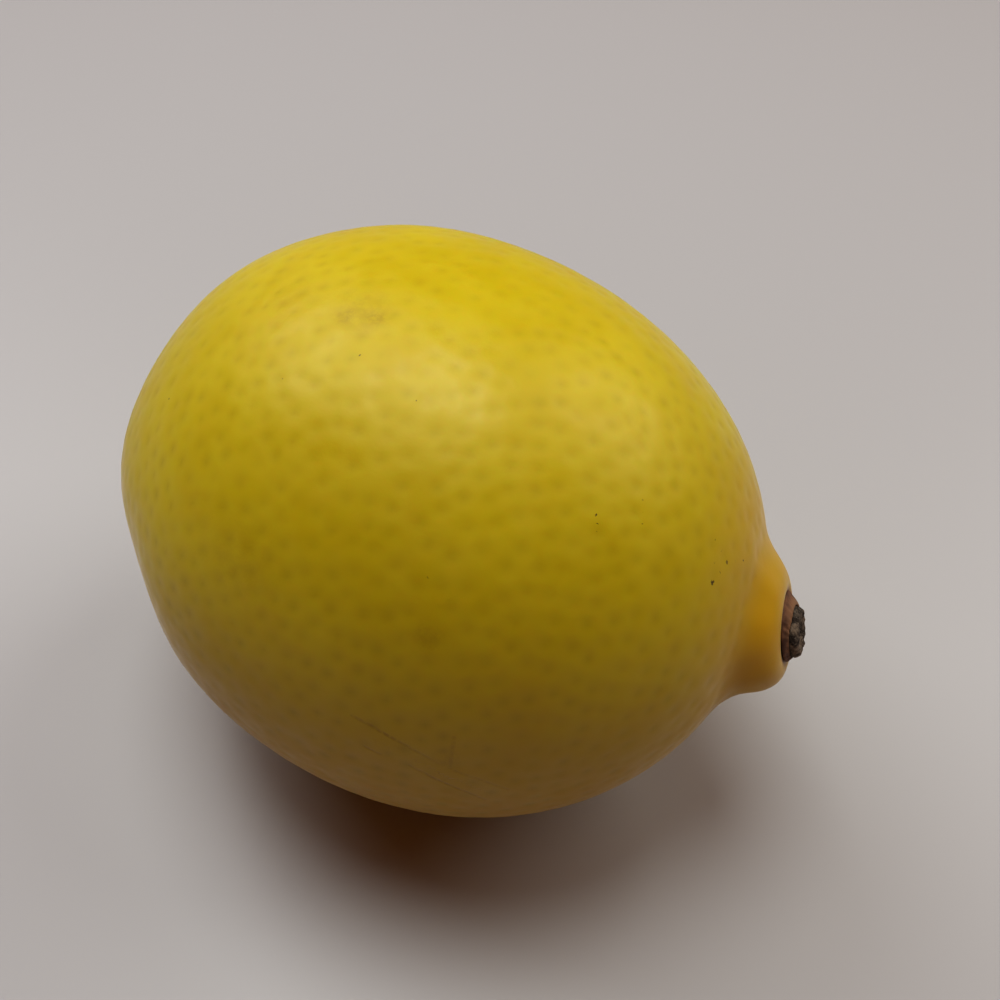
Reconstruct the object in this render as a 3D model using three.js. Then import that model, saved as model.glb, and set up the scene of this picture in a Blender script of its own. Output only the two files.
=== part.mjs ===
// A lemon lying on its side, as picked: the fruit with its skin, and at the stem end
// the dried calyx with the short woody stub of the stem.
//
// Millimetres, +Z up, origin on the surface it lies on, under the middle of its box.
// The core axis runs from the style end (-X) to the stem end (+X), which is a little higher.
// Shapes are first worked out in the core frame: x along the core axis, origin at the core's middle.
import * as THREE from 'three';

// Where the core lies in the part
const CORE_MIDDLE = new THREE.Vector3(0.07, 2.29, 27.62);
const CORE_TILT = THREE.MathUtils.degToRad(5.9);

// Flesh under the skin: an ellipsoid of two half lengths, off the core axis and askew to it
const BODY_RADIUS = 30;
const STEM_HALF_LENGTH = 34.95;
const STYLE_HALF_LENGTH = 36.25;
const BODY_OFFSET = new THREE.Vector3(0, -2.3, 1.84);
const BODY_YAW = -0.048;
const BODY_PITCH = -0.078;

// Broad swells and hollows that make the outline uneven: direction, height, spread in radians
const SWELLS = [
  { towards: [0.5, 0.7, -0.5], height: -0.27, spread: 0.5 },
  { towards: [0.6, -0.6, -0.55], height: 0.3, spread: 0.5 },
  { towards: [0.8, 0.5, 0.2], height: 0.2, spread: 0.35 },
  { towards: [-0.5, 0.5, 0.7], height: 1.07, spread: 0.5 },
  { towards: [-0.6, -0.7, 0.3], height: 0.34, spread: 0.5 },
  { towards: [-0.6, 0.75, -0.2], height: 0.11, spread: 0.5 },
  { towards: [-0.5, -0.4, -0.7], height: 0.38, spread: 0.5 },
  { towards: [-0.74, -0.67, 0.03], height: -0.96, spread: 0.24 },
  { towards: [-0.77, 0.09, 0.63], height: 0.59, spread: 0.3 },
  { towards: [-0.88, -0.42, 0.22], height: 0.25, spread: 0.25 },
];

// Nub at the stem end: a plug with a round shoulder, which faces its own way
const NUB_FACE = new THREE.Vector3(37.55, 0.12, 0.12);
const NUB_FACING = new THREE.Vector3(1, 0.142, 0.247).normalize();
const NUB_RADIUS = 7.04;
const NUB_SHOULDER = 3.3;
const NUB_FLARE = 0.115;
const NUB_BLEND = 3.57;

// Crater in the nub's face, which holds the calyx
const CRATER_RADIUS = 3.3;
const CRATER_RISE = 0.9;
const CRATER_FLATNESS = 1.3;
const CRATER_BLEND = 1.0;

// Style end: a low blunt nipple
const NIPPLE_X = -35;
const NIPPLE_RADIUS = 4.5;
const NIPPLE_BLEND = 7;

// The stub of the stem stands off the nub's axis, and the top of the calyx goes with it
const STUB_OFFSET = [0.39, -0.31];

// Calyx: a low cone in the crater, with a cup for the stub and a brim that rises to one side.
// Rings from the cup to the underside: height over the nub's face, and the shares of the stub's
// offset, of the lobes' depth and of the brim's rise
const CUP_FLOOR = 0.35;
const CALYX_RINGS = [
  { radius: 2.56, height: 0.36, lean: 1, lobes: 0, rise: 0 },
  { radius: 2.6, height: 0.78, lean: 1, lobes: 0, rise: 1 },
  { radius: 2.76, height: 0.72, lean: 0.9, lobes: 0.5, rise: 1 },
  { radius: 3.25, height: 0.32, lean: 0.3, lobes: 1, rise: 0.3 },
  { radius: 3.38, height: 0.03, lean: 0, lobes: 0.5, rise: 0 },
  { radius: 2.82, height: -0.45, lean: 0, lobes: 0, rise: 0 },
  { radius: 2.25, height: -0.87, lean: 0, lobes: 0, rise: 0 },
  { radius: 1.3, height: -1.25, lean: 0, lobes: 0, rise: 0 },
];
const CALYX_BOTTOM = -1.3;
const CALYX_LOBES = 5;
const CALYX_LOBE_DEPTH = 0.06;
const BRIM_RISE = 0.17;
const BRIM_RISE_TURN = THREE.MathUtils.degToRad(135);

// Stub: rings from the pith in its broken end to its foot in the cup, with their share of the
// bark's furrows and of the splinters
const PITH_FLOOR = 1.1;
const STUB_RINGS = [
  { radius: 0.5, height: 1.12, bark: 0, splinters: 0 },
  { radius: 0.8, height: 1.4, bark: 0, splinters: 0 },
  { radius: 1.6, height: 1.38, bark: 0, splinters: 0.6 },
  { radius: 2.1, height: 1.47, bark: 0.5, splinters: 1 },
  { radius: 2.38, height: 1.33, bark: 1, splinters: 0.7 },
  { radius: 2.47, height: 1.05, bark: 1, splinters: 0 },
  { radius: 2.47, height: 0.6, bark: 1, splinters: 0 },
  { radius: 2.3, height: 0.4, bark: 0, splinters: 0 },
];
const STUB_BOTTOM = 0.38;
const BARK_DEPTH = 0.05;
const SPLINTER_HEIGHT = 0.08;

// Faceting
const FRUIT_RINGS = 60;
const FRUIT_SEGMENTS = 56;
const SMALL_SEGMENTS = 40;
const RING_CROWDING = 0.8;
const REACH_MIN = 18;
const REACH_MAX = 56;
const REACH_STEPS = 32;

// Union of two distances with a rounded inner corner of the given size
function blendUnion(a, b, size) {
  const h = Math.max(size - Math.abs(a - b), 0) / size;
  return Math.min(a, b) - (h * h * size) / 4;
}

// Radius of the flesh in one direction from its own middle
function bodyRadius(direction) {
  const along = direction.x / (direction.x > 0 ? STEM_HALF_LENGTH : STYLE_HALF_LENGTH);
  const across = Math.hypot(direction.y, direction.z) / BODY_RADIUS;
  let radius = 1 / Math.hypot(along, across);
  for (const swell of SWELLS) {
    const angle = direction.angleTo(new THREE.Vector3(...swell.towards));
    radius += swell.height * Math.exp(-((angle / swell.spread) ** 2));
  }
  return radius;
}

// The turn of the flesh against the core axis, undone on a point: yaw about Z, then pitch
const straighten = new THREE.Matrix4()
  .makeRotationY(BODY_PITCH)
  .multiply(new THREE.Matrix4().makeRotationZ(-BODY_YAW));

function bodyDistance(point) {
  const p = point.clone().sub(BODY_OFFSET).applyMatrix4(straighten);
  const length = p.length();
  return length - bodyRadius(p.divideScalar(length));
}

// A point's height over the nub's face and its distance from the nub's axis
function nubPlace(point) {
  const p = point.clone().sub(NUB_FACE);
  const height = p.dot(NUB_FACING);
  const reach = Math.sqrt(Math.max(p.lengthSq() - height * height, 0));
  return { height, reach };
}

function nubDistance({ height, reach }) {
  const side = reach - (NUB_RADIUS - NUB_SHOULDER) - NUB_FLARE * height;
  const end = height + NUB_SHOULDER;
  const outside = Math.hypot(Math.max(side, 0), Math.max(end, 0));
  return Math.min(Math.max(side, end), 0) + outside - NUB_SHOULDER;
}

function craterDistance({ height, reach }) {
  return Math.hypot(reach, (height - CRATER_RISE) * CRATER_FLATNESS) - CRATER_RADIUS;
}

// Below zero inside the fruit, above zero outside
function skinField(point) {
  const nub = nubPlace(point);
  const nipple = point.distanceTo(new THREE.Vector3(NIPPLE_X, 0, 0)) - NIPPLE_RADIUS;
  let field = blendUnion(bodyDistance(point), nubDistance(nub), NUB_BLEND);
  field = blendUnion(field, nipple, NIPPLE_BLEND);
  return -blendUnion(-field, craterDistance(nub), CRATER_BLEND);
}

// From the core frame to the part
const coreTurn = new THREE.Matrix4().makeRotationY(-CORE_TILT);

function toPart(point) {
  return point.clone().applyMatrix4(coreTurn).add(CORE_MIDDLE);
}

// The skin is where a ray from the core's middle leaves the fruit, or meets the resting surface
function skinPoint(direction) {
  let near = REACH_MIN;
  let far = REACH_MAX;
  for (let step = 0; step < REACH_STEPS; step += 1) {
    const middle = (near + far) / 2;
    if (skinField(direction.clone().multiplyScalar(middle)) < 0) near = middle;
    else far = middle;
  }
  const point = toPart(direction.clone().multiplyScalar(near));
  if (point.z > 0) return point;
  const drop = CORE_MIDDLE.z / (CORE_MIDDLE.z - point.z);
  point.sub(CORE_MIDDLE).multiplyScalar(drop).add(CORE_MIDDLE);
  point.z = 0;
  return point;
}

// A closed skin over rings of points, with one point at each end. Seen from outside the first
// end, each ring runs anticlockwise.
function ringSolid(start, rings, end) {
  const count = rings[0].length;
  const points = [start, ...rings.flat(), end];
  const last = points.length - 1;
  const faces = [];
  for (let k = 0; k < count; k += 1) {
    const next = (k + 1) % count;
    faces.push(0, 1 + k, 1 + next);
    for (let ring = 0; ring < rings.length - 1; ring += 1) {
      const a = 1 + ring * count;
      const b = a + count;
      faces.push(a + k, b + k, b + next, a + k, b + next, a + next);
    }
    const a = 1 + (rings.length - 1) * count;
    faces.push(a + k, last, a + next);
  }
  const geometry = new THREE.BufferGeometry();
  geometry.setAttribute('position', new THREE.Float32BufferAttribute(points.flatMap((p) => p.toArray()), 3));
  geometry.setIndex(faces);
  geometry.computeVertexNormals();
  return geometry;
}

function angles(count) {
  return Array.from({ length: count }, (_, k) => (2 * Math.PI * k) / count);
}

// Angles from the stem end of the core axis to its style end, closer together at both ends
function ringAngle(ring) {
  const t = ring / FRUIT_RINGS;
  return Math.PI * (t - (RING_CROWDING * Math.sin(2 * Math.PI * t)) / (2 * Math.PI));
}

function fruitGeometry() {
  const rings = [];
  for (let ring = 1; ring < FRUIT_RINGS; ring += 1) {
    const away = ringAngle(ring);
    rings.push(angles(FRUIT_SEGMENTS).map((turn) => {
      const across = Math.sin(away);
      return skinPoint(new THREE.Vector3(Math.cos(away), across * Math.cos(turn), across * Math.sin(turn)));
    }));
  }
  const stemPole = skinPoint(new THREE.Vector3(1, 0, 0));
  const stylePole = skinPoint(new THREE.Vector3(-1, 0, 0));
  return ringSolid(stemPole, rings, stylePole);
}

// A ring of points about the local Z axis, leaning towards the stub. Its radius and its height
// vary with the turn.
function loop({ radius, height, lean = 1 }, swell, rise) {
  return angles(SMALL_SEGMENTS).map((turn) => {
    const r = radius + swell(turn);
    const x = r * Math.cos(turn) + lean * STUB_OFFSET[0];
    const y = r * Math.sin(turn) + lean * STUB_OFFSET[1];
    return new THREE.Vector3(x, y, height + rise(turn));
  });
}

// How far the lobes of the calyx reach out at one turn
function lobe(turn) {
  return CALYX_LOBE_DEPTH * (Math.cos(CALYX_LOBES * turn) - 1);
}

function calyxGeometry() {
  const rings = CALYX_RINGS.map((ring) => loop(
    ring,
    (turn) => ring.lobes * lobe(turn),
    (turn) => ring.rise * BRIM_RISE * Math.cos(turn - BRIM_RISE_TURN),
  ));
  const cup = new THREE.Vector3(...STUB_OFFSET, CUP_FLOOR);
  return ringSolid(cup, rings, new THREE.Vector3(0, 0, CALYX_BOTTOM));
}

// Furrows of the bark at one turn
function bark(turn) {
  return BARK_DEPTH * (0.7 * Math.sin(4 * turn + 1) + 0.3 * Math.sin(9 * turn));
}

// How far the broken end of the stub stands up or down at one turn
function splinter(turn) {
  const waves = 0.5 * Math.sin(3 * turn + 0.4) + 0.3 * Math.sin(7 * turn + 2) + 0.2 * Math.sin(11 * turn);
  return SPLINTER_HEIGHT * waves;
}

function stubGeometry() {
  const rings = STUB_RINGS.map((ring) => loop(
    ring,
    (turn) => ring.bark * bark(turn),
    (turn) => ring.splinters * splinter(turn),
  ));
  const pith = new THREE.Vector3(...STUB_OFFSET, PITH_FLOOR);
  return ringSolid(pith, rings, new THREE.Vector3(...STUB_OFFSET, STUB_BOTTOM));
}

function piece(name, geometry, colour, roughness) {
  const material = new THREE.MeshStandardMaterial({ color: colour, roughness, metalness: 0 });
  const mesh = new THREE.Mesh(geometry, material);
  mesh.name = name;
  return mesh;
}

// The calyx and the stub stand on the nub's face, along the way it faces
function stemEnd() {
  const group = new THREE.Group();
  group.position.copy(toPart(NUB_FACE));
  const facing = NUB_FACING.clone().applyMatrix4(coreTurn);
  group.quaternion.setFromUnitVectors(new THREE.Vector3(0, 0, 1), facing);
  group.add(piece('calyx', calyxGeometry(), 0x4a2c1c, 0.9));
  group.add(piece('stem_stub', stubGeometry(), 0x6e6256, 0.95));
  return group;
}

const lemon = new THREE.Group();
lemon.add(piece('fruit', fruitGeometry(), 0xd8b91e, 0.45));
lemon.add(stemEnd());

export default lemon;
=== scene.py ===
# A lemon on its side on a pale floor: its peel with oil glands, marks and scratches,
# and at the stem end the dried calyx and the rough woody stub of the stem.
import math
import bpy
import numpy as np
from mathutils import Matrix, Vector
from mathutils.kdtree import KDTree

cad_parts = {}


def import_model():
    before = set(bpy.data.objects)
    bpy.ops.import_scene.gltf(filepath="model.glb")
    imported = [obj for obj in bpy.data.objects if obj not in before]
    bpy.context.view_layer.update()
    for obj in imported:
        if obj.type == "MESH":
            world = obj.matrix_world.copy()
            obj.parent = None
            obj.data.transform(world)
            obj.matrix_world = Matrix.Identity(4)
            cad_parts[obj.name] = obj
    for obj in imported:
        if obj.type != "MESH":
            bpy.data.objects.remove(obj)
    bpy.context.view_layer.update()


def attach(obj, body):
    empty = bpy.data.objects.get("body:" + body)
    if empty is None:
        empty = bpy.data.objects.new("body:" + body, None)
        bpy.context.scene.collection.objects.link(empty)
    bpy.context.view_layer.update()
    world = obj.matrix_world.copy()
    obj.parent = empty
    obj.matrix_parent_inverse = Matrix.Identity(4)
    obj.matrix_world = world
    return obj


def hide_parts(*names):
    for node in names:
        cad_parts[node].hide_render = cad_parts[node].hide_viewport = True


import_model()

MM = 0.001
SEED = 7

# Where the core lies in the part, in mm. The core frame has x along the core axis, towards the stem end
CORE_MIDDLE = np.array([0.07, 2.29, 27.62])
CORE_TILT = math.radians(5.9)

# Flesh under the skin, in mm: an ellipsoid of two half lengths, off the core axis and askew to it
BODY_RADIUS = 30
STEM_HALF_LENGTH = 34.95
STYLE_HALF_LENGTH = 36.25
BODY_OFFSET = np.array([0, -2.3, 1.84])
BODY_YAW = -0.048
BODY_PITCH = -0.078

# Broad swells and hollows of the outline: direction, height in mm, spread in radians
SWELLS = (
    ((0.5, 0.7, -0.5), -0.27, 0.5),
    ((0.6, -0.6, -0.55), 0.3, 0.5),
    ((0.8, 0.5, 0.2), 0.2, 0.35),
    ((-0.5, 0.5, 0.7), 1.07, 0.5),
    ((-0.6, -0.7, 0.3), 0.34, 0.5),
    ((-0.6, 0.75, -0.2), 0.11, 0.5),
    ((-0.5, -0.4, -0.7), 0.38, 0.5),
    ((-0.74, -0.67, 0.03), -0.96, 0.24),
    ((-0.77, 0.09, 0.63), 0.59, 0.3),
    ((-0.88, -0.42, 0.22), 0.25, 0.25),
)

# Nub at the stem end, and the crater in its face, in mm
NUB_FACE = np.array([37.55, 0.12, 0.12])
NUB_FACING = np.array([1, 0.142, 0.247]) / math.hypot(1, 0.142, 0.247)
NUB_RADIUS = 7.04
NUB_SHOULDER = 3.3
NUB_FLARE = 0.115
NUB_BLEND = 3.57
CRATER_RADIUS = 3.3
CRATER_RISE = 0.9
CRATER_FLATNESS = 1.3
CRATER_BLEND = 1.0

# Style end: a low blunt nipple, in mm
NIPPLE = np.array([-35, 0, 0])
NIPPLE_RADIUS = 4.5
NIPPLE_BLEND = 7

# Fineness of the skin: steps on each side of the cube of rays, and how far the rays crowd to the stem end
SKIN_STEPS = 127
STEM_CROWDING = 0.3
SKIN_INSET = 0.055
REACH = (18, 56)
REACH_STEPS = 22

# Oil glands, in mm: soft dots in shallow dimples
GLAND_SPACING = 1.8
GLAND_RADIUS = (0.42, 0.64)
GLAND_DARKNESS = (0.3, 1.0)
GLAND_NEIGHBOURS = 5
DIMPLE_RADIUS = 0.75
DIMPLE_DEPTH = 0.05

# Near the nub's axis the glands fade between these heights over its face, down to a share of their strength
BARE_HEIGHT = (-6, -2)
BARE_REACH = 9
BARE_SHARE = 0.2
# Nothing this near the floor is lifted or sunk, in mm
FLAT_SPOT_MARGIN = 0.3

# Soft ridges that run from the nub into the body, in mm: where they start and end off the nub's axis
RIDGE_HEIGHT = 0.06
RIDGE_START = (4.5, 7)
RIDGE_END = (9, 17)

# Where tints and painted shade lie on the skin, in mm: the nub's amber from this far under its face, the
# painted shade of the underside by height over the floor, the painted shade of the rim round the calyx, the
# scar on the nipple
AMBER_START = 13
AMBER_WIDTH = 9
AMBER_NARROWING = 0.35
PAINTED_SHADE_HEIGHT = (22, 46)
RIM_REACH = (3.3, 4.2)
RIM_HEIGHT = (-3.5, -1.5)
SCAR_MIDDLE = np.array([-39.5, 0, 0])
SCAR_RADIUS = (0.9, 2.2)

# The stub stands off the nub's axis, and the brim of the calyx rises to one side
STUB_OFFSET = (0.39, -0.31)
BRIM_RISE = 0.22
BRIM_RISE_TURN = math.radians(135)

# Calyx and stub, along their profiles: radius, height over the nub's face, share of the offset, in mm
CALYX_BOTTOM = -1.3
CALYX_PROFILE = (
    (0.6, -1.28, 0), (2.2, -0.9, 0), (2.8, -0.46, 0), (3.3, -0.12, 0), (3.54, -0.02, 0), (3.5, 0.09, 0.05),
    (3.3, 0.24, 0.3), (3.05, 0.43, 0.6), (2.8, 0.6, 0.9), (2.7, 0.66, 1), (2.62, 0.6, 1), (2.6, 0.4, 1),
)
CUP_FLOOR = 0.35
STUB_BOTTOM = 0.38
STUB_PROFILE = (
    (0.8, 0.38, 1), (2.2, 0.42, 1), (2.46, 0.55, 1), (2.53, 0.75, 1), (2.5, 1.0, 1), (2.38, 1.2, 1),
    (2.2, 1.36, 1), (1.95, 1.44, 1), (1.6, 1.38, 1), (1.3, 1.32, 1), (0.95, 1.4, 1), (0.7, 1.38, 1),
    (0.5, 1.14, 1), (0.2, 1.1, 1),
)
PITH_FLOOR = 1.1
CALYX_LOBES = 5
CALYX_SEGMENTS = 200
CALYX_RINGS = 60
STUB_SEGMENTS = 220
STUB_RINGS = 80

# Camera, at this distance in mm from the core's middle. Its lens is as long as its sensor is wide
CAMERA_AZIMUTH = math.radians(27.59)
CAMERA_ELEVATION = math.radians(50)
CAMERA_DISTANCE = 112.87
CAMERA_LENS = 36
CAMERA_SHIFT = (0.0483, 0.0186)
CAMERA_NEAREST = 0.005
PHOTO_SIDE = 1000

# The floor's half side, in mm
FLOOR_REACH = 4000

# How near to a speck the skin is looked at for its mark, in mm
SPECK_REACH = 2.0
# Specks seen in the photograph: pixel, radius in mm, darkness
SPECKS = (
    ((596.7, 514.8), 0.1, 0.9),
    ((598.2, 532), 0.09, 0.9),
    ((713.3, 583), 0.2, 0.9),
    ((727.8, 562), 0.16, 0.7),
    ((743.6, 560.5), 0.12, 0.6),
    ((716, 539.5), 0.1, 0.4),
    ((643, 524), 0.08, 0.6),
    ((281.6, 378.6), 0.1, 0.8),
    ((168.4, 398.7), 0.12, 0.8),
    ((359.7, 354.6), 0.1, 0.8),
    ((416.3, 400.3), 0.08, 0.7),
    ((420.7, 281), 0.08, 0.6),
    ((428, 578), 0.1, 0.5),
    ((643, 500), 0.08, 0.4),
)
# Stains: pixel, spread in mm, strength
STAINS = (
    ((345, 316), 0.7, 0.5),
    ((377, 318), 0.9, 0.45),
    ((361, 307), 2.4, 0.25),
    ((428, 636), 1.2, 0.35),
    ((240, 560), 4.0, 0.15),
    ((447, 760), 1.2, 0.3),
)
# Scratches: the pixels that each passes, and how strong it is at each
SCRATCHES = (
    (((352, 716), 0.4), ((377, 730), 0.7), ((411, 749), 0.5), ((440, 765), 0.15)),
    (((364, 747), 0.4), ((380, 755), 0.5)),
    (((409, 766), 0.3), ((440, 782), 0.7), ((485, 800), 0.4)),
    (((456, 772), 0.35), ((508, 790), 0.25)),
    (((454, 738), 0.3), ((450, 769), 0.35)),
)
# How near to a scratch the skin is looked at, in mm, and between which distances its mark fades out
SCRATCH_REACH = 1.6
SCRATCH_END = (1.0, 1.5)

# Peel colours, and how much of some of them shows at most
PEEL_YELLOW = (0.61, 0.515, 0.01, 1)
PEEL_PALE = (0.65, 0.565, 0.016, 1)
PEEL_OCHRE = (0.58, 0.43, 0.006, 1)
# Painted shade: a browner, darker peel low on the fruit
PEEL_PAINTED_SHADE = (0.5, 0.285, 0.005, 1)
GLAND_OLIVE = (0.38, 0.29, 0.002, 1)
NUB_AMBER = (0.64, 0.38, 0.012, 1)
STAIN_BROWN = (0.36, 0.24, 0.008, 1)
SPECK_BROWN = (0.05, 0.025, 0.006, 1)
# Painted shade of the skin in the crater round the calyx
RIM_PAINTED_SHADE = (0.34, 0.17, 0.02, 1)
SCRATCH_BROWN = (0.34, 0.19, 0.01, 1)
PAINTED_SHADE_SHARE = 0.76
AMBER_SHARE = 0.6
SCRATCH_SHARE = 0.7
GLAND_SHARES = (0.28, 0.5)
# The glands are paled higher up as a painted highlight: heights in metres, and the share left above them
GLAND_PAINTED_HIGHLIGHT_HEIGHT = (0.032, 0.056)
GLAND_PAINTED_HIGHLIGHT_SHARE = 0.55
# Distances from a scratch's middle line where its mark ends and where it is full, in metres
SCRATCH_WIDTH = (0.0003, 0.00006)

# Calyx and stub colours
CALYX_MAROON = (0.08, 0.036, 0.02, 1)
CALYX_BROWN = (0.24, 0.13, 0.07, 1)
# Painted light: the calyx's paler tone towards its brim
CALYX_PAINTED_LIGHT = (0.34, 0.21, 0.11, 1)
WOOD_DARK = (0.035, 0.026, 0.018, 1)
WOOD_GREY = (0.27, 0.225, 0.165, 1)
WOOD_PALE = (0.4, 0.36, 0.29, 1)

# Relief of the wax, its pores and the scratches, and of the calyx and the wood, in metres
WAX_RELIEF = 0.000015
PORE_RELIEF = 0.000006
SCRATCH_RELIEF = 0.00004
CALYX_RELIEF = 0.00006
WOOD_RELIEF = 0.00015
WAX_ROUGHNESS = (0.36, 0.5)
CALYX_ROUGHNESS = (0.55, 0.8)
WOOD_ROUGHNESS = 0.9

# Floor and backdrop: the floor turns into the backdrop's colour between two distances, in metres
FLOOR_PALE = (0.51, 0.534, 0.543, 1)
FLOOR_FADE = (0.42, 0.8)
BACKDROP = (0.62, 0.61, 0.6, 1)
BLACK = (0, 0, 0, 1)

# Soft round lights: direction from the fruit, distance and size in metres, watts, colour
LIGHTS = {
    "overhead": ((-0.4, 0.26, 2.4), 0.7, 0.4, 2.65, (0.98, 1, 0.98)),
    "right": ((0.5, 0.58, 0.7), 0.8, 0.6, 2.6, (1, 0.98, 0.93)),
    "left": ((-0.92, 0.24, 1), 0.8, 0.5, 2.3, (0.97, 0.98, 1)),
}
# Warm surroundings, and how strongly they light the fruit
SURROUNDINGS = (1, 0.28, 0.12, 1)
SURROUNDINGS_STRENGTH = 0.15

VIEW_GAMMA = 0.74
VIEW_EXPOSURE = 0.06


def turned(points, angle, first, second):
    """The points, turned by an angle from one axis towards another."""
    out = points.copy()
    out[..., first] = points[..., first] * math.cos(angle) - points[..., second] * math.sin(angle)
    out[..., second] = points[..., first] * math.sin(angle) + points[..., second] * math.cos(angle)
    return out


def to_part(points):
    return turned(points, CORE_TILT, 0, 2) + CORE_MIDDLE


def to_core(points):
    return turned(points - CORE_MIDDLE, -CORE_TILT, 0, 2)


def blend_union(a, b, size):
    h = np.maximum(size - np.abs(a - b), 0) / size
    return np.minimum(a, b) - h * h * size / 4


def body_distance(points):
    p = turned(points - BODY_OFFSET, -BODY_YAW, 0, 1)
    p = turned(p, -BODY_PITCH, 0, 2)
    length = np.linalg.norm(p, axis=-1)
    direction = p / length[..., None]
    x = direction[..., 0]
    along = x / np.where(x > 0, STEM_HALF_LENGTH, STYLE_HALF_LENGTH)
    across = np.hypot(direction[..., 1], direction[..., 2]) / BODY_RADIUS
    radius = 1 / np.hypot(along, across)
    for towards, height, spread in SWELLS:
        towards = np.array(towards) / np.linalg.norm(towards)
        angle = np.arccos(np.clip(direction @ towards, -1, 1))
        radius += height * np.exp(-((angle / spread) ** 2))
    return length - radius


def nub_place(points):
    """Height over the nub's face, and distance from the nub's axis."""
    p = points - NUB_FACE
    height = p @ NUB_FACING
    reach = np.sqrt(np.maximum((p * p).sum(-1) - height**2, 0))
    return height, reach


def skin_field(points):
    """Below zero inside the fruit, above zero outside. The points are in the core frame."""
    height, reach = nub_place(points)
    side = reach - (NUB_RADIUS - NUB_SHOULDER) - NUB_FLARE * height
    end = height + NUB_SHOULDER
    nub = np.minimum(np.maximum(side, end), 0) - NUB_SHOULDER
    nub += np.hypot(np.maximum(side, 0), np.maximum(end, 0))
    crater = np.hypot(reach, (height - CRATER_RISE) * CRATER_FLATNESS) - CRATER_RADIUS
    nipple = np.linalg.norm(points - NIPPLE, axis=-1) - NIPPLE_RADIUS
    field = blend_union(body_distance(points), nub, NUB_BLEND)
    field = blend_union(field, nipple, NIPPLE_BLEND)
    return -blend_union(-field, crater, CRATER_BLEND)


def cube_rays(steps):
    """Directions and four-sided faces of a cube's grid, blown up to a ball."""
    t = np.tan(np.linspace(-math.pi / 4, math.pi / 4, steps + 1))
    a, b = (g.ravel() for g in np.meshgrid(t, t, indexing="ij"))
    one = np.ones_like(a)
    sides = [np.stack(s, -1) for s in (
        (one, a, b), (-one, b, a), (b, one, a), (a, -one, b), (a, b, one), (b, a, -one)
    )]
    corners = np.concatenate(sides)
    corners /= np.linalg.norm(corners, axis=-1)[:, None]
    _, first, place = np.unique(np.round(corners, 7), axis=0, return_index=True, return_inverse=True)
    i, j = (g.ravel() for g in np.meshgrid(np.arange(steps), np.arange(steps), indexing="ij"))
    corner = i * (steps + 1) + j
    face = np.stack([corner, corner + steps + 1, corner + steps + 2, corner + 1], -1)
    faces = np.concatenate([face + side * (steps + 1) ** 2 for side in range(6)])
    return corners[first], place.ravel()[faces]


def crowd_to_stem(directions):
    away = np.arccos(np.clip(directions[:, 0], -1, 1))
    new = away - STEM_CROWDING * np.sin(away)
    across = np.linalg.norm(directions[:, 1:], axis=-1)
    ratio = np.sin(new) / np.maximum(across, 1e-9)
    return np.column_stack([np.cos(new), directions[:, 1] * ratio, directions[:, 2] * ratio])


def skin_points(directions):
    """Where rays from the core's middle leave the fruit, in the part's mm, cut off flat at the floor."""
    near = np.full(len(directions), float(REACH[0]))
    far = np.full(len(directions), float(REACH[1]))
    for _ in range(REACH_STEPS):
        middle = (near + far) / 2
        inside = skin_field(directions * middle[:, None]) < 0
        near = np.where(inside, middle, near)
        far = np.where(inside, far, middle)
    points = to_part(directions * (near - SKIN_INSET)[:, None])
    below = points[:, 2] < 0
    drop = CORE_MIDDLE[2] / (CORE_MIDDLE[2] - points[below, 2])
    points[below] = CORE_MIDDLE + (points[below] - CORE_MIDDLE) * drop[:, None]
    points[below, 2] = 0
    return points


def camera_axes():
    a, e = CAMERA_AZIMUTH, CAMERA_ELEVATION
    back = np.array([math.sin(a) * math.cos(e), -math.cos(a) * math.cos(e), math.sin(e)])
    right = np.array([math.cos(a), math.sin(a), 0])
    return right, np.cross(back, right), back


def at_pixel(pixel):
    """The point of the skin, in the part's mm, that the photograph shows at a pixel."""
    right, up, back = camera_axes()
    x = pixel[0] / PHOTO_SIDE - 0.5 + CAMERA_SHIFT[0]
    y = 0.5 - pixel[1] / PHOTO_SIDE + CAMERA_SHIFT[1]
    ray = right * x + up * y - back
    ray /= np.linalg.norm(ray)
    start = CORE_MIDDLE + back * CAMERA_DISTANCE
    steps = np.linspace(CAMERA_DISTANCE - 50, CAMERA_DISTANCE + 30, 4000)
    inside = skin_field(to_core(start + ray * steps[:, None])) < 0
    return start + ray * steps[np.argmax(inside)]


def new_object(name, points, faces):
    """A smooth mesh object from points in mm."""
    mesh = bpy.data.meshes.new(name)
    mesh.from_pydata((points * MM).tolist(), [], faces)
    mesh.shade_smooth()
    mesh.update()
    obj = bpy.data.objects.new(name, mesh)
    bpy.context.scene.collection.objects.link(obj)
    return obj


def store(obj, name, values):
    """Keeps a number or a vector for each point of a mesh, for its material."""
    kind = "FLOAT_VECTOR" if values.ndim == 2 else "FLOAT"
    layer = obj.data.attributes.new(name, kind, "POINT")
    layer.data.foreach_set("vector" if values.ndim == 2 else "value", values.astype(np.float32).ravel())


def tree_of(points):
    tree = KDTree(len(points))
    for index, point in enumerate(points):
        tree.insert(point, index)
    tree.balance()
    return tree


def gland_places(points, draw):
    """Points of the skin, drawn at random, no two nearer than the glands' spacing."""
    cells = {}
    chosen = []
    reach = range(-1, 2)
    around = [(i, j, k) for i in reach for j in reach for k in reach]
    keys = np.floor(points / GLAND_SPACING).astype(int)
    for index in draw.permutation(len(points)):
        key = tuple(keys[index])
        point = points[index]
        near = [q for d in around for q in cells.get((key[0] + d[0], key[1] + d[1], key[2] + d[2]), ())]
        if near and np.min(((np.array(near) - point) ** 2).sum(-1)) < GLAND_SPACING**2:
            continue
        cells.setdefault(key, []).append(point)
        chosen.append(point)
    return np.array(chosen)


def smooth(low, high, value):
    t = np.clip((value - low) / (high - low), 0, 1)
    return t * t * (3 - 2 * t)


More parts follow.
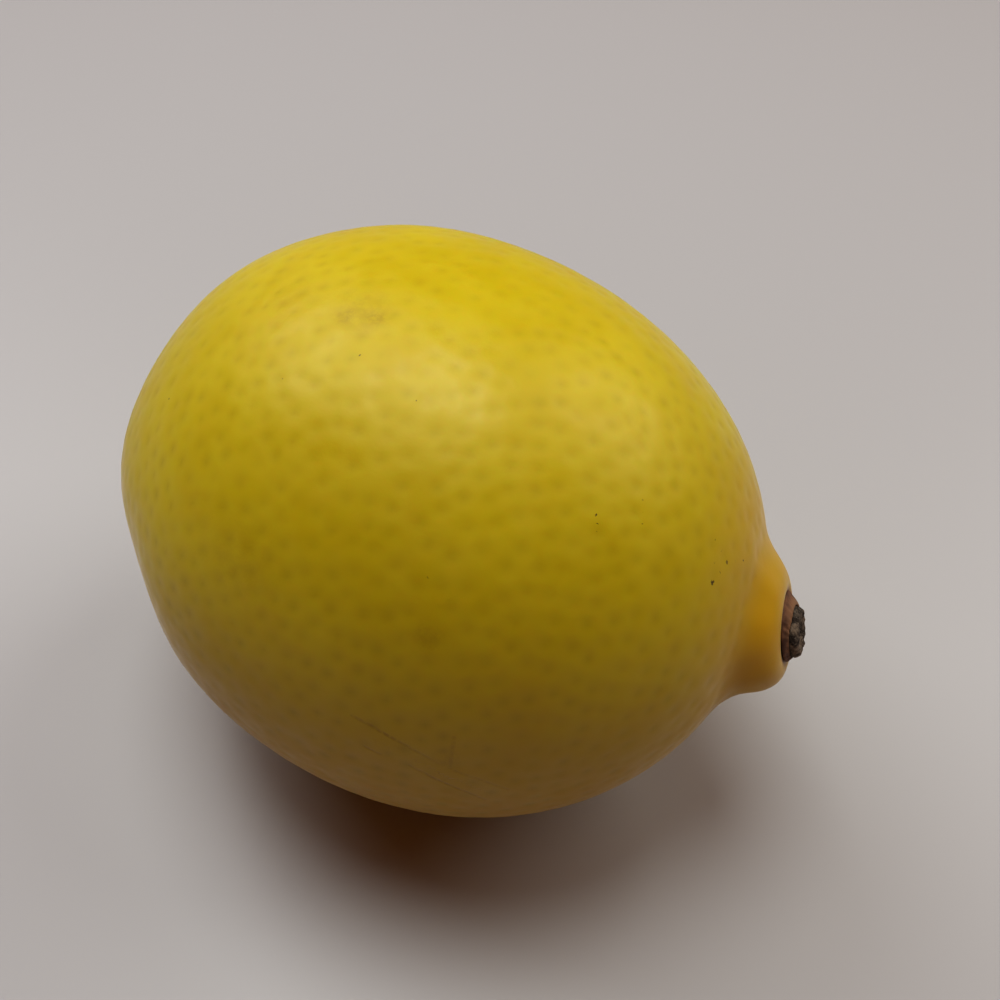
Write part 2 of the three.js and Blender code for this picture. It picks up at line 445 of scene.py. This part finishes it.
def outward(points):
    """Unit vectors that point out of the fruit, from the field around each point."""
    core = to_core(points)
    step = 0.05
    slopes = [skin_field(core + step * axis) - skin_field(core - step * axis) for axis in np.eye(3)]
    normal = np.stack(slopes, -1)
    normal /= np.linalg.norm(normal, axis=-1)[:, None]
    return turned(normal, CORE_TILT, 0, 2)


def nearest_on_path(points, corners, strengths):
    """For each point the nearest place on a path, its distance and the path's strength there."""
    best = np.full(len(points), np.inf)
    place = np.zeros_like(points)
    strength = np.zeros(len(points))
    for a, b, sa, sb in zip(corners[:-1], corners[1:], strengths[:-1], strengths[1:]):
        along = np.clip((points - a) @ (b - a) / ((b - a) @ (b - a)), 0, 1)
        spot = a + along[:, None] * (b - a)
        distance = np.linalg.norm(points - spot, axis=-1)
        nearer = distance < best
        best[nearer] = distance[nearer]
        place[nearer] = spot[nearer]
        strength[nearer] = (sa + (sb - sa) * along)[nearer]
    return place, best, strength


def scratch_path(scratch):
    """A scratch's corners on the skin, close together, with its strength at each."""
    corners, strengths = [], []
    for (p, sp), (q, sq) in zip(scratch[:-1], scratch[1:]):
        for t in np.linspace(0, 1, 6):
            corners.append(at_pixel((p[0] + (q[0] - p[0]) * t, p[1] + (q[1] - p[1]) * t)))
            strengths.append(sp + (sq - sp) * t)
    return np.array(corners), np.array(strengths)


def waves(turn, draw, low, high, count):
    """A sum of random waves round a ring, about one high."""
    total = np.zeros_like(turn)
    for _ in range(count):
        total += np.sin(draw.integers(low, high) * turn + draw.uniform(0, 2 * math.pi))
    return total / math.sqrt(count)


def glands_at(points, draw):
    """How dark the glands make each point of the skin, and how deep it lies in their dimples."""
    glands = gland_places(points, draw)
    radius = draw.uniform(*GLAND_RADIUS, len(glands))
    darkness = draw.uniform(*GLAND_DARKNESS, len(glands))
    tree = tree_of(glands)
    near = [tree.find_n(point, GLAND_NEIGHBOURS) for point in points]
    index = np.array([[found[1] for found in group] for group in near])
    distance = np.array([[found[2] for found in group] for group in near])
    dark = (darkness[index] * np.exp(-((distance / radius[index]) ** 2))).sum(-1)
    dimple = np.exp(-((distance / DIMPLE_RADIUS) ** 2)).sum(-1)
    return dark, dimple


def ridges_at(core_points, reach, draw):
    """Height of the soft ridges round the nub."""
    side = np.cross(NUB_FACING, (0, 0, 1))
    side /= np.linalg.norm(side)
    arm = core_points - NUB_FACE
    turn = np.arctan2(arm @ np.cross(side, NUB_FACING), arm @ side)
    belt = smooth(*RIDGE_START, reach) * (1 - smooth(*RIDGE_END, reach)) * (core_points[:, 0] > 0)
    return RIDGE_HEIGHT * belt * waves(turn, draw, 5, 15, 8)


def store_marks(obj, points):
    """Specks, stains and scratches, each kept where it lies nearest."""
    speck_at = np.zeros_like(points)
    speck_radius = np.zeros(len(points))
    speck_dark = np.zeros(len(points))
    nearest = np.full(len(points), SPECK_REACH)
    for pixel, radius, dark in SPECKS:
        spot = at_pixel(pixel)
        away = np.linalg.norm(points - spot, axis=-1)
        nearer = away < nearest
        nearest[nearer] = away[nearer]
        speck_at[nearer] = spot * MM
        speck_radius[nearer] = radius * MM
        speck_dark[nearer] = dark
    store(obj, "speck_at", speck_at)
    store(obj, "speck_radius", speck_radius)
    store(obj, "speck_dark", speck_dark)

    stain = np.zeros(len(points))
    for pixel, spread, strength in STAINS:
        away = np.linalg.norm(points - at_pixel(pixel), axis=-1)
        stain += strength * np.exp(-((away / spread) ** 2))
    store(obj, "stain", stain)

    nearest = np.full(len(points), SCRATCH_REACH)
    scratch_at = np.zeros_like(points)
    scratch_strength = np.zeros(len(points))
    for scratch in SCRATCHES:
        place, away, strength = nearest_on_path(points, *scratch_path(scratch))
        nearer = away < nearest
        nearest[nearer] = away[nearer]
        scratch_at[nearer] = place[nearer] * MM
        scratch_strength[nearer] = (strength * (1 - smooth(*SCRATCH_END, away)))[nearer]
    store(obj, "scratch_at", scratch_at)
    store(obj, "scratch_strength", scratch_strength)


def fruit_skin():
    draw = np.random.default_rng(SEED)
    directions, faces = cube_rays(SKIN_STEPS)
    points = skin_points(crowd_to_stem(directions))
    normals = outward(points)
    core = to_core(points)
    height, reach = nub_place(core)

    gland, dimple = glands_at(points, draw)
    covered = 1 - smooth(*BARE_HEIGHT, height) * (reach < BARE_REACH)
    gland *= BARE_SHARE + (1 - BARE_SHARE) * covered
    lift = ridges_at(core, reach, draw) - DIMPLE_DEPTH * dimple * covered
    points = points + normals * (lift * (points[:, 2] > FLAT_SPOT_MARGIN))[:, None]

    obj = new_object("lemon_peel", points, faces.tolist())
    store(obj, "gland", gland)
    store(obj, "nub", smooth(0, AMBER_WIDTH, AMBER_START + height - AMBER_NARROWING * reach))
    # Painted shade low on the fruit, by height over the floor
    store(obj, "underside_painted_shade", 1 - smooth(*PAINTED_SHADE_HEIGHT, points[:, 2]))
    # Painted shade of the skin down in the crater round the calyx
    store(obj, "rim_painted_shade", (1 - smooth(*RIM_REACH, reach)) * smooth(*RIM_HEIGHT, height))
    store(obj, "style_scar", 1 - smooth(*SCAR_RADIUS, np.linalg.norm(core - SCAR_MIDDLE, axis=-1)))
    store_marks(obj, points)
    return obj


class Shader:
    """A material's node tree, with one short call for each kind of node."""

    def __init__(self, name):
        self.material = bpy.data.materials.new(name)
        self.material.use_nodes = True
        self.tree = self.material.node_tree
        self.surface = self.tree.nodes["Principled BSDF"]

    def put(self, socket, value):
        if isinstance(value, bpy.types.NodeSocket):
            self.tree.links.new(value, socket)
        else:
            socket.default_value = value

    def set(self, **values):
        for name, value in values.items():
            self.put(self.surface.inputs[name.replace("_", " ")], value)

    def attribute(self, name):
        node = self.tree.nodes.new("ShaderNodeAttribute")
        node.attribute_name = name
        return node

    def number(self, name):
        return self.attribute(name).outputs["Fac"]

    def vector(self, name):
        return self.attribute(name).outputs["Vector"]

    def parts(self, vector):
        node = self.tree.nodes.new("ShaderNodeSeparateXYZ")
        self.put(node.inputs[0], vector)
        return node.outputs[:]

    def place(self):
        return self.tree.nodes.new("ShaderNodeTexCoord").outputs["Object"]

    def distance(self, a, b):
        node = self.tree.nodes.new("ShaderNodeVectorMath")
        node.operation = "DISTANCE"
        self.put(node.inputs[0], a)
        self.put(node.inputs[1], b)
        return node.outputs["Value"]

    def math(self, operation, a, b):
        node = self.tree.nodes.new("ShaderNodeMath")
        node.operation = operation
        self.put(node.inputs[0], a)
        self.put(node.inputs[1], b)
        return node.outputs[0]

    def times(self, first, *others):
        for other in others:
            first = self.math("MULTIPLY", first, other)
        return first

    def rest(self, share):
        """What is left of one when a share is taken."""
        return self.math("SUBTRACT", 1.0, share)

    def spread(self, value, low, high, out_low=0.0, out_high=1.0):
        """Value from low to high, smoothly turned into out_low to out_high."""
        node = self.tree.nodes.new("ShaderNodeMapRange")
        node.interpolation_type = "SMOOTHSTEP"
        for socket, number in zip(node.inputs, (value, low, high, out_low, out_high)):
            self.put(socket, number)
        return node.outputs[0]

    def noise(self, scale, detail=2.0, roughness=0.5, at=None, distortion=0.0):
        node = self.tree.nodes.new("ShaderNodeTexNoise")
        self.put(node.inputs["Vector"], at or self.place())
        self.put(node.inputs["Scale"], scale)
        self.put(node.inputs["Detail"], detail)
        self.put(node.inputs["Roughness"], roughness)
        self.put(node.inputs["Distortion"], distortion)
        return node.outputs[0]

    def mix(self, share, a, b):
        """Colour a, with a share of colour b."""
        node = self.tree.nodes.new("ShaderNodeMix")
        node.data_type = "RGBA"
        for socket, value in zip((node.inputs["Factor"], node.inputs[6], node.inputs[7]), (share, a, b)):
            self.put(socket, value)
        return node.outputs[2]

    def bump(self, height, distance, under=None):
        """Relief of a height up to a distance in metres, over an earlier relief."""
        node = self.tree.nodes.new("ShaderNodeBump")
        self.put(node.inputs["Strength"], 1.0)
        self.put(node.inputs["Distance"], distance)
        self.put(node.inputs["Height"], height)
        if under:
            self.put(node.inputs["Normal"], under)
        return node.outputs[0]


def peel_ground(s, place):
    """Yellow with faint clouds and patches, with painted shade making it browner underneath, and olive
    glands paled upwards as a painted highlight.
    """
    cloud = s.noise(38, 3, 0.55)
    patch = s.noise(110, 3, 0.6)
    colour = s.mix(s.spread(cloud, 0.35, 0.68), PEEL_YELLOW, PEEL_PALE)
    colour = s.mix(s.spread(patch, 0.45, 0.75, 0, 0.3), colour, PEEL_OCHRE)
    # Painted shade: the peel turns browner and darker low down, by height over the floor
    colour = s.mix(s.times(s.number("underside_painted_shade"), PAINTED_SHADE_SHARE), colour, PEEL_PAINTED_SHADE)
    _, _, up = s.parts(place)
    gland = s.times(s.number("gland"), s.spread(cloud, 0.3, 0.7, *GLAND_SHARES))
    # Painted highlight: higher up the glands are paled, as where the light washes them out
    gland = s.times(gland, s.spread(up, *GLAND_PAINTED_HIGHLIGHT_HEIGHT, 1, GLAND_PAINTED_HIGHLIGHT_SHARE))
    colour = s.mix(gland, colour, GLAND_OLIVE)
    amber = s.times(s.number("nub"), s.spread(s.noise(160, 3), 0.3, 0.7, 0.75, 1), AMBER_SHARE)
    return s.mix(amber, colour, NUB_AMBER)


def scratch_share(s, place):
    """How much of a scratch shows at a place: a thin line, broken here and there."""
    away = s.distance(place, s.vector("scratch_at"))
    broken = s.spread(s.noise(2500, 2), 0.3, 0.6, 0.3, 1)
    return s.times(s.spread(away, *SCRATCH_WIDTH), s.number("scratch_strength"), broken)


def speck_share(s, place):
    """How much of a speck shows at a place: a dot with a ragged edge."""
    radius = s.number("speck_radius")
    ragged = s.spread(s.noise(6000, 2), 0.3, 0.7, 0.6, 1.5)
    away = s.times(s.distance(place, s.vector("speck_at")), ragged)
    dot = s.spread(away, s.times(radius, 1.3), s.times(radius, 0.6))
    return s.times(dot, s.number("speck_dark"))


def peel_material():
    s = Shader("lemon_peel")
    place = s.place()
    scratch = scratch_share(s, place)
    colour = peel_ground(s, place)
    stain = s.times(s.number("stain"), s.spread(s.noise(900, 4, 0.7), 0.35, 0.65, 0.25, 1))
    colour = s.mix(stain, colour, STAIN_BROWN)
    colour = s.mix(s.times(scratch, SCRATCH_SHARE), colour, SCRATCH_BROWN)
    colour = s.mix(speck_share(s, place), colour, SPECK_BROWN)
    # Painted shade: the skin round the calyx's foot, down in the crater, is browned
    colour = s.mix(s.number("rim_painted_shade"), colour, RIM_PAINTED_SHADE)
    scar = s.times(s.number("style_scar"), s.spread(s.noise(1500, 3), 0.3, 0.6, 0.5, 1))
    colour = s.mix(scar, colour, STAIN_BROWN)

    normal = s.bump(s.noise(450, 3, 0.55), WAX_RELIEF)
    normal = s.bump(s.noise(3500, 2, 0.6), PORE_RELIEF, normal)
    normal = s.bump(s.times(scratch, -1.0), SCRATCH_RELIEF, normal)
    s.set(
        Base_Color=colour,
        Roughness=s.spread(s.noise(300, 4), 0.3, 0.7, *WAX_ROUGHNESS),
        Normal=normal,
        Subsurface_Weight=0.3,
        Subsurface_Radius=(1.0, 0.45, 0.08),
        Subsurface_Scale=0.003,
        Specular_IOR_Level=0.45,
        Sheen_Weight=s.times(s.rest(s.number("rim_painted_shade")), 0.28),
        Sheen_Roughness=0.3,
    )
    return s.material


def ring_mesh(name, start, rings, end):
    """A closed mesh over rings about the nub's facing, placed on the nub's face."""
    count = len(rings[0])
    local = np.vstack([[start], *rings, [end]])
    faces = []
    for k in range(count):
        following = (k + 1) % count
        faces.append((0, 1 + following, 1 + k))
        for ring in range(len(rings) - 1):
            a = 1 + ring * count
            b = a + count
            faces.append((a + k, a + following, b + following, b + k))
        a = 1 + (len(rings) - 1) * count
        faces.append((a + k, a + following, len(local) - 1))
    facing = turned(NUB_FACING[None], CORE_TILT, 0, 2)[0]
    base = to_part(NUB_FACE[None])[0]
    turn = Vector((0, 0, 1)).rotation_difference(Vector(facing))
    axes = np.array(turn.to_matrix())
    obj = new_object(name, local @ axes.T + base, faces)
    store(obj, "local", local * MM)
    return obj


def profile_rings(profile, turn, count, rough):
    """Rings along a profile, roughened by a function of the share of the way, radius and height."""
    profile = np.array(profile)
    lengths = np.r_[0, np.cumsum(np.hypot(*np.diff(profile[:, :2], axis=0).T))]
    rings = []
    for along in np.linspace(0, lengths[-1], count):
        r, h, lean = (np.interp(along, lengths, column) for column in profile.T)
        swell, rise = rough(along / lengths[-1], r, h)
        x = (r + swell) * np.cos(turn) + lean * STUB_OFFSET[0]
        y = (r + swell) * np.sin(turn) + lean * STUB_OFFSET[1]
        rings.append(np.column_stack([x, y, h + rise]))
    return rings


def calyx():
    draw = np.random.default_rng(SEED + 1)
    turn = np.linspace(0, 2 * math.pi, CALYX_SEGMENTS, endpoint=False)
    fine = waves(turn, draw, 14, 40, 9)
    coarse = waves(turn, draw, 3, 9, 4)

    def rough(t, r, h):
        lobe = 0.03 * (np.cos(CALYX_LOBES * turn) - 1) + 0.02 * coarse + 0.01 * fine
        grain = 0.015 * np.sin(31 * t + 3 * coarse) + 0.015 * fine
        brim = smooth(0.15, 0.6, h) * (t < 0.95)
        rise = BRIM_RISE * np.cos(turn - BRIM_RISE_TURN) + 0.03 * coarse + 0.02 * fine
        return smooth(2.6, 3.3, r) * lobe + grain * smooth(-0.05, 0.1, h), brim * rise

    rings = profile_rings(CALYX_PROFILE, turn, CALYX_RINGS, rough)
    return ring_mesh("dried_calyx", (0, 0, CALYX_BOTTOM), rings, (*STUB_OFFSET, CUP_FLOOR))


def stub():
    draw = np.random.default_rng(SEED + 2)
    turn = np.linspace(0, 2 * math.pi, STUB_SEGMENTS, endpoint=False)
    bark = waves(turn, draw, 9, 30, 8)
    coarse = waves(turn, draw, 2, 7, 4)
    splinters = waves(turn, draw, 3, 16, 8)

    def rough(t, r, h):
        edge = smooth(1.5, 2.2, r)
        shaggy = np.sin(9 * h + 4 * coarse) + np.sin(17 * h + 5 * bark)
        furrows = 0.025 * bark + 0.03 * coarse + 0.02 * shaggy
        grain = 0.04 * np.sin(14 * r + 2 * coarse) + 0.03 * np.sin(23 * turn + 5 * r)
        broken = edge * 0.06 * (splinters - 0.5) + (1 - edge) * grain
        return edge * smooth(0.45, 0.7, h) * furrows, smooth(1.0, 1.4, h) * broken

    rings = profile_rings(STUB_PROFILE, turn, STUB_RINGS, rough)
    return ring_mesh("woody_stub", (*STUB_OFFSET, STUB_BOTTOM), rings, (*STUB_OFFSET, PITH_FLOOR))


def calyx_material():
    s = Shader("dried_calyx")
    local = s.vector("local")
    cloud = s.noise(700, 4, 0.6, at=local)
    colour = s.mix(s.spread(cloud, 0.35, 0.65), CALYX_MAROON, CALYX_BROWN)
    _, _, height = s.parts(local)
    # Painted light and shade: paler towards the brim, where light falls, and darker at the foot down in the
    # crater
    colour = s.mix(s.spread(height, 0.0002, 0.0008, 0, 0.75), colour, CALYX_PAINTED_LIGHT)
    normal = s.bump(s.noise(2500, 4, 0.7, at=local), CALYX_RELIEF)
    s.set(Base_Color=colour, Roughness=s.spread(cloud, 0.3, 0.7, *CALYX_ROUGHNESS), Normal=normal)
    return s.material


def stub_material():
    s = Shader("woody_stub")
    local = s.vector("local")
    cloud = s.noise(650, 4, 0.65, at=local, distortion=0.6)
    colour = s.mix(s.spread(cloud, 0.38, 0.62), WOOD_DARK, WOOD_GREY)
    fine = s.noise(4000, 3, 0.7, at=local)
    colour = s.mix(s.spread(fine, 0.5, 0.75, 0, 0.5), colour, WOOD_PALE)
    normal = s.bump(s.noise(3000, 4, 0.75, at=local), WOOD_RELIEF)
    s.set(Base_Color=colour, Roughness=WOOD_ROUGHNESS, Normal=normal)
    return s.material


def floor():
    """Pale and matt round the fruit, and without a horizon further off."""
    corners = [(x * FLOOR_REACH, y * FLOOR_REACH, 0) for x, y in ((-1, -1), (1, -1), (1, 1), (-1, 1))]
    obj = new_object("floor", np.array(corners), [(0, 1, 2, 3)])
    s = Shader("floor")
    far = s.spread(s.distance(s.place(), (0, 0, 0)), *FLOOR_FADE)
    s.set(
        Base_Color=s.mix(far, FLOOR_PALE, BLACK),
        Roughness=0.4,
        Specular_IOR_Level=s.times(s.rest(far), 0.35),
        Emission_Color=BACKDROP,
        Emission_Strength=far,
    )
    obj.data.materials.append(s.material)


def area_light(name, direction, distance, size, watts, colour):
    data = bpy.data.lights.new(name, "AREA")
    data.shape = "DISK"
    data.size = size
    data.energy = watts
    data.color = colour
    obj = bpy.data.objects.new(name, data)
    direction = Vector(direction).normalized()
    obj.location = Vector(CORE_MIDDLE * MM) + direction * distance
    obj.rotation_mode = "QUATERNION"
    obj.rotation_quaternion = direction.to_track_quat("Z", "Y")
    bpy.context.scene.collection.objects.link(obj)


def world():
    """Pale where the camera sees it, and dim and warm as a light."""
    studio = bpy.data.worlds.new("studio")
    studio.use_nodes = True
    tree = studio.node_tree
    seen = tree.nodes["Background"]
    seen.inputs["Color"].default_value = BACKDROP
    lit = tree.nodes.new("ShaderNodeBackground")
    lit.inputs["Color"].default_value = SURROUNDINGS
    lit.inputs["Strength"].default_value = SURROUNDINGS_STRENGTH
    mix = tree.nodes.new("ShaderNodeMixShader")
    path = tree.nodes.new("ShaderNodeLightPath")
    tree.links.new(path.outputs["Is Camera Ray"], mix.inputs[0])
    tree.links.new(lit.outputs[0], mix.inputs[1])
    tree.links.new(seen.outputs[0], mix.inputs[2])
    tree.links.new(mix.outputs[0], tree.nodes["World Output"].inputs["Surface"])
    bpy.context.scene.world = studio


def lights():
    for name, values in LIGHTS.items():
        area_light(name, *values)
    world()


def camera():
    right, up, back = camera_axes()
    data = bpy.data.cameras.new("camera")
    data.lens = CAMERA_LENS
    data.sensor_width = CAMERA_LENS
    data.shift_x, data.shift_y = CAMERA_SHIFT
    data.clip_start = CAMERA_NEAREST
    obj = bpy.data.objects.new("camera", data)
    obj.location = Vector((CORE_MIDDLE + back * CAMERA_DISTANCE) * MM)
    obj.rotation_mode = "QUATERNION"
    obj.rotation_quaternion = Vector(back).to_track_quat("Z", "Y")
    bpy.context.scene.collection.objects.link(obj)
    bpy.context.scene.camera = obj


def dress(obj, node, material):
    obj.data.materials.append(material)
    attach(obj, "root")
    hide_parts(node)


camera()
lights()
floor()
dress(fruit_skin(), "fruit", peel_material())
dress(calyx(), "calyx", calyx_material())
dress(stub(), "stem_stub", stub_material())
bpy.context.scene.view_settings.view_transform = "Standard"
bpy.context.scene.view_settings.gamma = VIEW_GAMMA
bpy.context.scene.view_settings.exposure = VIEW_EXPOSURE
